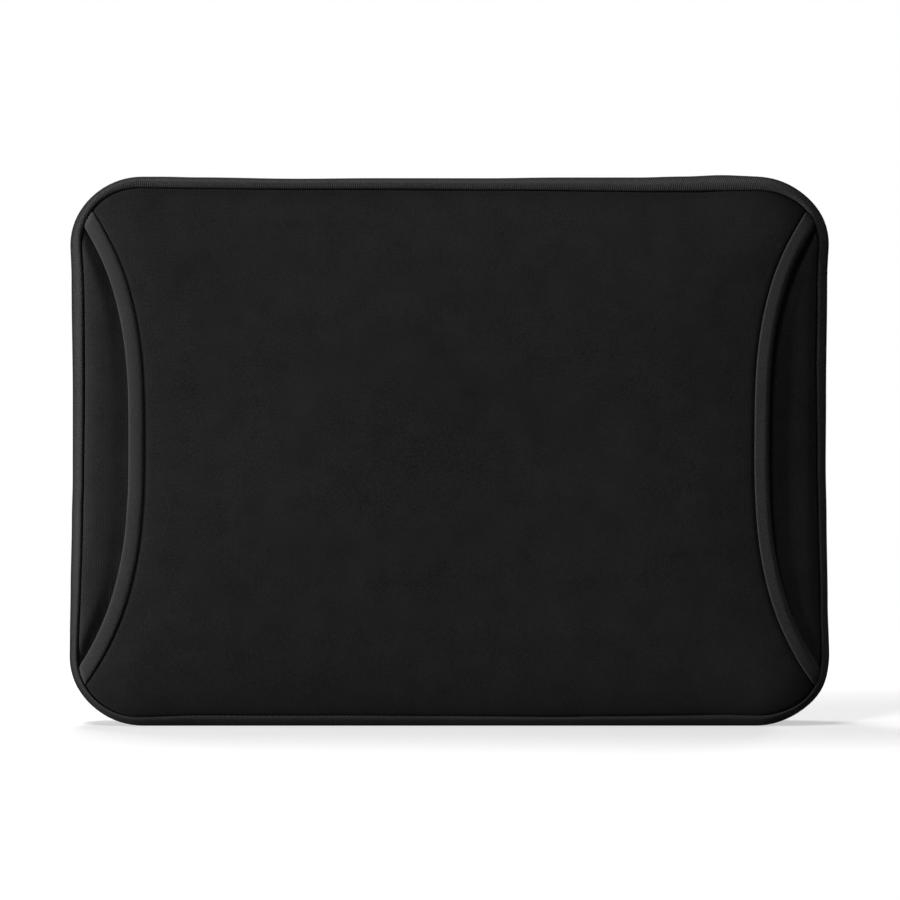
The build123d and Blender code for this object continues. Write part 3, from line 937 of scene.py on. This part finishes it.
back_padding = cloth_shell(
    "back_padding", hidden_layer, level(back_foam_low.y + skin), level(back_foam_high.y - skin), foam
)
fixed(back_padding, "foam", "back_foam")

back_lining_cloth = cloth_shell(
    "back_lining_cloth",
    hidden_layer,
    lambda x, z: back_lining_low.y - lining_wave(x, z),
    level(back_lining_high.y - skin),
    plush,
)
fixed(back_lining_cloth, "plush_lining", "back_lining")

# ---- Edge bindings ----


def binding_section(face_y, inner_y, lip, roll, slope=0.6):
    """Tape folded over the stacked edges: it slopes away outward and rolls down to its seam.

    The outline's pairs are (distance in from the rim, depth below face_y), in mm, as is roll."""
    s = 1 if inner_y > face_y else -1
    depth = abs(inner_y - face_y) / mm
    edge = lip / mm
    flat = max(edge - roll, 1.8)
    drop = slope * (flat - 1.0)
    rolled_lip = [
        (edge, 2.2), (edge, 1.0), (edge - 0.06 * roll, 0.6), (edge - 0.25 * roll, 0.3),
        (edge - 0.55 * roll, 0.1), (flat, 0.0), (flat * 0.6 + 0.4, drop * 0.36),
    ]
    outer_turn = [
        (1.2, drop), (0.75, drop + 0.4), (0.4, drop + 0.85), (0.13, drop + 1.4), (0.0, drop + 2.0),
        (0.0, depth / 2 + 1.0), (0.0, depth - 1.8), (0.15, depth - 0.95), (0.5, depth - 0.4),
    ]
    inner_leg = [
        (0.95, depth - 0.12), (1.5, depth), (4.0, depth - 0.1), (5.0, depth - 0.5), (5.2, depth - 1.2),
    ]
    outline = rolled_lip + outer_turn + inner_leg
    return [(inset * mm, face_y + s * fall * mm) for inset, fall in outline]


def front_lip(row):
    """Where the front binding is sewn down, a little uneven along its length."""
    along = row[4]
    wobble = 0.1 * mm * math.sin(along / (37 * mm)) + 0.06 * mm * math.sin(along / (11 * mm) + 1)
    return float(band_width(row[0], row[1])) + wobble


def front_binding_ring(row):
    """Rolled widest along the top, and flattest down the right side."""
    right, up = max(row[2], 0), max(row[3], 0)
    down = max(-row[3], 0)
    roll = 1.1 + 1.9 * up - 0.7 * down - 0.6 * right
    slope = 0.6 - 0.2 * right + 0.2 * down
    return binding_section(front_low.y, front_high.y, front_lip(row), roll, slope)


def back_binding_ring(row):
    wobble = 0.12 * mm * math.sin(row[4] / (31 * mm) + 2) + 0.08 * mm * math.sin(row[4] / (12 * mm))
    return binding_section(back_high.y, back_low.y, seam_inset + wobble, roll=1.8)


front_edge_binding = sweep(
    "front_edge_binding", loop, front_binding_ring, closed=True, material=binding_cloth
)
across_fold(front_edge_binding, "binding_tape", "front_binding_lower", "front_binding_upper")
back_edge_binding = sweep("back_edge_binding", loop, back_binding_ring, closed=True, material=binding_cloth)
fixed(back_edge_binding, "binding_tape", "back_binding")


def seam_places(depth_y, face, pitch, inset_of):
    """Stitch places round the rim at y = depth_y, on a face whose outward direction is face."""
    total = loop[-1, 4]
    count = round(total / pitch)
    places = []
    for i in range(count):
        x, z, nx, nz = rim_place(loop, (i + 0.5) * total / count)
        inset = inset_of(x, z)
        place = lean(np.array([[x - nx * inset, depth_y, z - nz * inset]]))[0]
        places.append((place, (-nz, 0, nx), (0, face, 0)))
    return places


ditch = 1.0 * mm
past_binding, past_tape = 0.25 * mm, 0.18 * mm
front_edge_stitches = stitches(
    "front_edge_stitches",
    seam_places(front_low.y + ditch, -1, stitch_pitch, lambda x, z: float(band_width(x, z)) + past_binding),
)
across_fold(front_edge_stitches, "binding_tape")
back_edge_stitches = stitches(
    "back_edge_stitches",
    seam_places(back_high.y - ditch, 1, stitch_pitch, lambda x, z: seam_inset + past_tape),
)
fixed(back_edge_stitches, "binding_tape")

# ---- Tape round the slip pocket's free edges ----


def free_edge_path(side):
    """Places up a free edge, closer together near its ends: x, z, outward direction and distance along."""
    low, high = 4 * mm, height - 4 * mm
    close, wide = 0.7 * mm, 3 * mm
    ends = 42 * mm
    zs = np.concatenate([
        np.arange(low, low + ends, close),
        np.arange(low + ends, high - ends, wide),
        np.arange(high - ends, high, close),
    ])
    xs = side * free_edge_x(zs)
    end_margin = 3.6 * mm
    inside = edge_distance(np.abs(xs) - edge_tape_width, zs) > end_margin
    zs, xs = zs[inside], xs[inside]
    slope = free_edge_slope(zs)
    scale = np.hypot(1, slope)
    outward = np.stack([side / scale, -slope / scale], axis=-1)
    along = np.concatenate([[0], np.cumsum(np.hypot(np.diff(xs), np.diff(zs)))])
    return xs, zs, outward, along


def tape_section(side):
    """Across the folded tape, in mm: (distance in from the free edge, height over the panel's face)."""
    w = edge_tape_width / mm
    if side < 0:
        points = [
            (w, -0.9), (w, -0.05), (w - 0.25, 0.25), (w - 0.8, 0.5), (w - 1.7, 0.72),
            (w - 2.9, 0.86), (w / 2, 0.93), (2.0, 0.93), (1.0, 0.86), (0.45, 0.7),
            (0.12, 0.35), (0.0, -0.2), (0.0, -1.0), (0.1, -1.8),
        ]
    else:
        points = [
            (w, -0.9), (w, 0.3), (w - 0.1, 0.55), (w - 0.4, 0.7), (w - 1.2, 0.76),
            (w / 2, 0.92), (3.0, 1.02), (2.2, 0.98), (1.5, 0.8), (0.8, 0.4),
            (0.3, -0.2), (0.05, -0.9), (0.0, -1.3), (0.1, -1.8),
        ]
    points += [(0.5, -2.4), (1.2, -2.6), (w - 0.3, -2.6), (w, -2.2)]
    return [(a * mm, b * mm) for a, b in points]


def pocket_tape(name, side):
    xs, zs, outward, along = free_edge_path(side)
    section = tape_section(side)
    inward, rise = np.array(section).T
    x, z = xs[:, None] - outward[:, :1] * inward, zs[:, None] - outward[:, 1:] * inward
    px, pz = kept_inside(x, z, tape_margin)
    verts = lean(np.stack([px, pocket_y(px, pz) - rise, pz], axis=-1).reshape(-1, 3))
    faces = tube_faces(0, len(xs), len(section))
    obj = new_object(name, verts, faces, tube_uvs(along, round_section(section)), pocket_tape_cloth)
    flip_outward(obj)
    return obj


def pocket_stitches(name, side):
    """Thread in the ditch along the tape's inner edge."""
    xs, zs, outward, along = free_edge_path(side)
    count = round(along[-1] / stitch_pitch)
    places = []
    for i in range(count):
        s = (i + 0.5) * along[-1] / count
        x, z = np.interp(s, along, xs), np.interp(s, along, zs)
        out = [np.interp(s, along, outward[:, 0]), np.interp(s, along, outward[:, 1])]
        inward = edge_tape_width + past_tape
        px, pz = x - out[0] * inward, z - out[1] * inward
        if edge_distance(px, pz) < float(band_width(px, pz)) + 0.5 * mm:
            continue
        place = lean(np.array([[px, float(pocket_panel_y(px, pz)), pz]]))[0]
        places.append((place, (-out[1], 0, out[0]), (0, -1, 0)))
    return stitches(name, places)


for side, word in ((-1, "left"), (1, "right")):
    tape = pocket_tape("pocket_edge_tape_" + word, side)
    across_fold(tape, "binding_tape", f"pocket_binding_{word}_lower", f"pocket_binding_{word}_upper")
    across_fold(pocket_stitches("pocket_edge_stitches_" + word, side), "binding_tape")


# ---- Gusset ----


def strip_section(y_low, y_high, inset, thickness, crown):
    """A thin strip lying across the sleeve's side, a little bowed outward."""
    count = 8
    outer, inner = [], []
    for i in range(count + 1):
        t = i / count
        y = y_low + (y_high - y_low) * t
        bow = crown * math.sin(math.pi * t)
        outer.append((inset - bow, y))
        inner.append((inset + thickness - bow, y))
    return outer + inner[::-1]


def gusset_strip(name, path, y_low, y_high, crown):
    thickness = tape_inset - gusset_inset
    section = strip_section(y_low, y_high, gusset_inset, thickness, crown)
    return sweep(name, path, lambda row: section, material=gusset_cloth, soft=False)


slot_low = 2 * zip_y - strip_low.y
slot_high = strip_low.y
wide_bow, narrow_bow = 0.5 * mm, 0.15 * mm
deep_over, deep_under = rim(z_from=tail_low.z)[:2]
gusset_strip_lower = gusset_strip("gusset_strip_lower", deep_under, gusset_low.y, gusset_high.y, wide_bow)
fixed(gusset_strip_lower, "gusset_cloth", "lower_gusset")
gusset_strip_back = gusset_strip("gusset_strip_back", deep_over, slot_high, gusset_high.y, narrow_bow)
fixed(gusset_strip_back, "gusset_cloth", "back_gusset")
gusset_strip_front = gusset_strip("gusset_strip_front", deep_over, gusset_low.y, slot_low, narrow_bow)
across_fold(gusset_strip_front, "gusset_cloth", "front_gusset")

# ---- Zip ----

tape_thickness = 0.8 * mm
rows_gap = teeth_low.y - zip_y
tapes_gap = 0.02 * mm


def zip_tape(name, y_low, y_high):
    section = strip_section(y_low, y_high, tape_inset, tape_thickness, 0.0)
    return sweep(name, deep_over, lambda row: section, material=zip_cloth, soft=False)


zip_tape_back = zip_tape("zip_tape_back", zip_y + tapes_gap, zip_tape_high.y)
fixed(zip_tape_back, "zip_tape", "back_zip_tape", "zip_tail_tapes")
zip_tape_front = zip_tape("zip_tape_front", 2 * zip_y - zip_tape_high.y, zip_y - tapes_gap)
across_fold(zip_tape_front, "zip_tape", "front_zip_tape")


def coil_row(name, path, side, shift):
    """One side of a coil zip: a loop of nylon at each tooth, its head towards the other row."""
    pitch = 1.3 * mm
    total = path[-1, 4]
    count = int(total / pitch)
    tube, sides = 0.34 * mm, 5
    reach = teeth_reach - 0.3 * mm
    start = rows_gap - 0.5 * mm
    height_low, height_high = tape_inset - 0.35 * mm, teeth_inset + 0.35 * mm
    legs = (reach, reach * 0.7, start + 0.5 * mm)
    loop_points = [(leg, height_low) for leg in legs]
    loop_points += [(start, (height_low + height_high) / 2)]
    loop_points += [(leg, height_high) for leg in reversed(legs)]
    verts, faces = [], []
    for i in range(count):
        s = (i + 0.5) * pitch + shift
        if s > total:
            break
        x, z, nx, nz = rim_place(path, s)
        tx, tz = -nz, nx
        base = len(verts)
        for j, (from_middle, inset) in enumerate(loop_points):
            slip = (j / (len(loop_points) - 1) - 0.5) * 0.35 * mm
            cx, cz = x - nx * inset + tx * slip, z - nz * inset + tz * slip
            cy = zip_y + side * from_middle
            a, b = loop_points[max(j - 1, 0)], loop_points[min(j + 1, len(loop_points) - 1)]
            d = Vector((side * (b[0] - a[0]), -(b[1] - a[1]))).normalized()
            for q in range(sides):
                angle = 2 * math.pi * q / sides
                lift = math.cos(angle) * tube
                slide = math.sin(angle) * tube
                out, dy = d.x * lift, -d.y * lift
                verts.append((cx + nx * out + tx * slide, cy + dy, cz + nz * out + tz * slide))
        faces += tube_faces(base, len(loop_points), sides)
    obj = new_object(name, verts, faces, None, coil)
    flip_outward(obj)
    return obj


teeth_over = rim(z_from=tail_teeth_low.z)[0]
zip_coil_back = coil_row("zip_coil_back", teeth_over, 1, 0.0)
fixed(zip_coil_back, "zip_teeth", "back_zip_teeth", "zip_tail_teeth")
zip_coil_front = coil_row("zip_coil_front", teeth_over, -1, 0.65 * mm)
across_fold(zip_coil_front, "zip_teeth", "front_zip_teeth")


def end_tabs():
    """Folded scraps of tape over the zip's ends, softly bowed."""
    low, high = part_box("zip_end_tabs")
    inner_x = half_width - gusset_inset
    tab_thickness, edge_drop = 1.0 * mm, 0.35 * mm
    nu, nv = 12, 6
    layer_size = (nu + 1) * (nv + 1)
    border = [(i, 0) for i in range(nu)] + [(nu, j) for j in range(nv)]
    border += [(i, nv) for i in range(nu, 0, -1)] + [(0, j) for j in range(nv, 0, -1)]
    verts, faces = [], []

    def add_tab(side):
        base = len(verts)

        def at(layer, i, j):
            return base + layer * layer_size + i * (nv + 1) + j

        def quad(layer, i, j):
            a, b = at(layer, i, j), at(layer, i + 1, j)
            c, d = at(layer, i + 1, j + 1), at(layer, i, j + 1)
            return (a, b, c, d) if (layer == 0) == (side > 0) else (a, d, c, b)

        for layer in (0, 1):
            for i in range(nu + 1):
                for j in range(nv + 1):
                    u, v = i / nu, j / nv
                    bow = edge_drop * (abs(2 * u - 1) ** 6 + abs(2 * v - 1) ** 6)
                    out = inner_x + tab_thickness - bow if layer == 0 else inner_x
                    verts.append((side * out, low.y + (high.y - low.y) * u, low.z + (high.z - low.z) * v))
        for i in range(nu):
            for j in range(nv):
                faces.extend([quad(0, i, j), quad(1, i, j)])
        for p, q in zip(border, border[1:] + border[:1]):
            ring = (at(0, *p), at(1, *p), at(1, *q), at(0, *q))
            faces.append(ring if side > 0 else ring[::-1])

    add_tab(-1)
    add_tab(1)
    return new_object("zip_end_tab_cloth", verts, faces, None, gusset_cloth)


fixed(end_tabs(), "gusset_cloth", "zip_end_tabs")

# ---- Hard parts keep their CAD shapes ----

for node, material in (
    ("zip_stops", enamel),
    ("slider_body", enamel),
    ("slider_bridge", enamel),
    ("slider_lock_spring", steel),
    ("pull_tab", enamel),
):
    mesh = frame["nodes"][node].data
    mesh.materials.clear()
    mesh.materials.append(material)

# ---- Floor and light ----


def add_floor():
    side, near, far = 0.9, 0.62, 0.6
    corners = [(-side, -near, 0), (side, -near, 0), (side, far, 0), (-side, far, 0)]
    floor = new_object("floor", corners, [(0, 1, 2, 3)], None, floor_material())
    floor.location.z = cad_low.z - 0.05 * mm


def add_light(name, place, target, size, power):
    data = bpy.data.lights.new(name, "AREA")
    data.shape = "RECTANGLE"
    data.size, data.size_y = size
    data.energy = power
    light = bpy.data.objects.new(name, data)
    bpy.context.scene.collection.objects.link(light)
    light.location = place
    light.rotation_euler = (Vector(target) - Vector(place)).to_track_quat("-Z", "Y").to_euler()


def add_world():
    """White to the camera, a dimmer even light on the object."""
    world = bpy.data.worlds.new("studio")
    bpy.context.scene.world = world
    world.use_nodes = True
    tree = world.node_tree
    dim, bright = tree.nodes["Background"], tree.nodes.new("ShaderNodeBackground")
    for node, color, strength in ((dim, (0.97, 0.98, 1.0, 1), 0.02), (bright, (1, 1, 1, 1), 1.0)):
        node.inputs["Color"].default_value = color
        node.inputs["Strength"].default_value = strength
    ray = tree.nodes.new("ShaderNodeLightPath")
    mix = tree.nodes.new("ShaderNodeMixShader")
    tree.links.new(ray.outputs["Is Camera Ray"], mix.inputs[0])
    tree.links.new(dim.outputs[0], mix.inputs[1])
    tree.links.new(bright.outputs[0], mix.inputs[2])
    tree.links.new(mix.outputs[0], tree.nodes["World Output"].inputs["Surface"])


add_floor()
add_world()
middle = (0, 0, half_height)
add_light("key_left", (-4.0, -0.9, 0.56), middle, (0.68, 0.46), 205)
add_light("top_front", (-0.42, -0.72, 1.52), (0, 0, 0), (0.26, 0.35), 8.0)
add_light("top_back", (-0.3, 0.34, 1.5), (0, 0, 0), (0.5, 0.5), 11.5)
add_light("back_fill", (1.6, 2.2, 0.5), middle, (0.8, 0.8), 30)
bpy.context.scene.view_settings.view_transform = "Standard"
